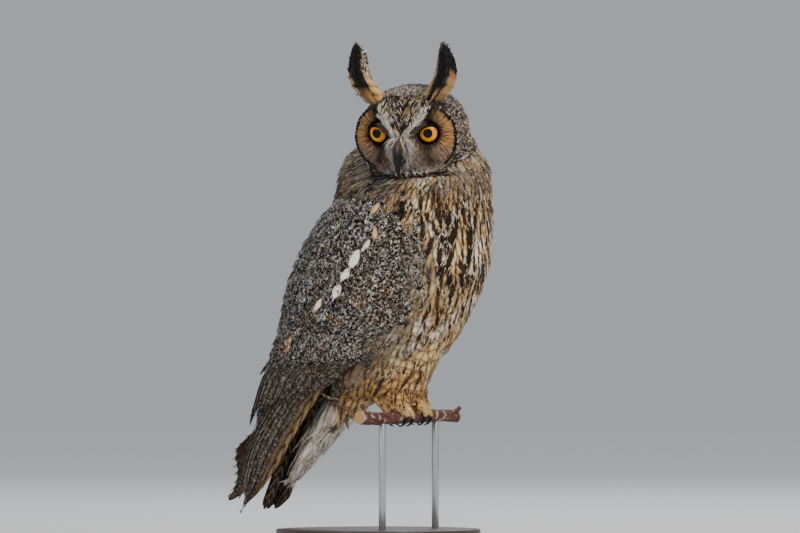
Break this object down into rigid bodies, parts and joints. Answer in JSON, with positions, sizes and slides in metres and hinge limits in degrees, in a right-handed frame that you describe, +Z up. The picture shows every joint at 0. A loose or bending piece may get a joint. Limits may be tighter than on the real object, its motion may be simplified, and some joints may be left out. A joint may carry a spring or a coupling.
{
  "type": "long eared owl",
  "caption": "life-size long eared owl at rest on a cut twig, head turned, held by a round base and two short rods",
  "frame": {"origin": "middle of the base's underside", "axes": "+Z up and the longest extent; the owl's body faces -Y and its right side is -X; its face is turned towards -X"},
  "size_m": [0.164, 0.2471, 0.3996],
  "materials": {
    "plumage": "soft matt feathers, mottled dark brown, buff and cream",
    "flight_feathers": "smooth matt vanes, barred grey brown",
    "eyes": "wet gloss, orange yellow round a black pupil",
    "horn": "satin dark horn",
    "twig": "thin reddish-brown bark with pale lichen",
    "base_wood": "turned and dark stained, satin",
    "rod_steel": "fine brushed"
  },
  "bodies": {
    "root": {"head": "plumage", "neck": "plumage", "torso": "plumage", "undertail": "plumage", "tail": "flight_feathers", "ear_tuft_left": "plumage", "ear_tuft_right": "plumage", "wing_left_arm": "plumage", "wing_left_secondaries": "flight_feathers", "wing_left_primaries": "flight_feathers", "wing_right_arm": "plumage", "wing_right_secondaries": "flight_feathers", "wing_right_primaries": "flight_feathers", "leg_left": "plumage", "leg_right": "plumage", "foot_left": "plumage", "foot_right": "plumage", "eye_left": "eyes", "eye_right": "eyes", "bill_upper": "horn", "bill_lower": "horn", "talon_left_1": "horn", "talon_left_2": "horn", "talon_left_3": "horn", "talon_left_4": "horn", "talon_right_1": "horn", "talon_right_2": "horn", "talon_right_3": "horn", "talon_right_4": "horn", "perch": "twig", "stand_base": "base_wood", "stand_rod_left": "rod_steel", "stand_rod_right": "rod_steel"}
  },
  "joints": []
}
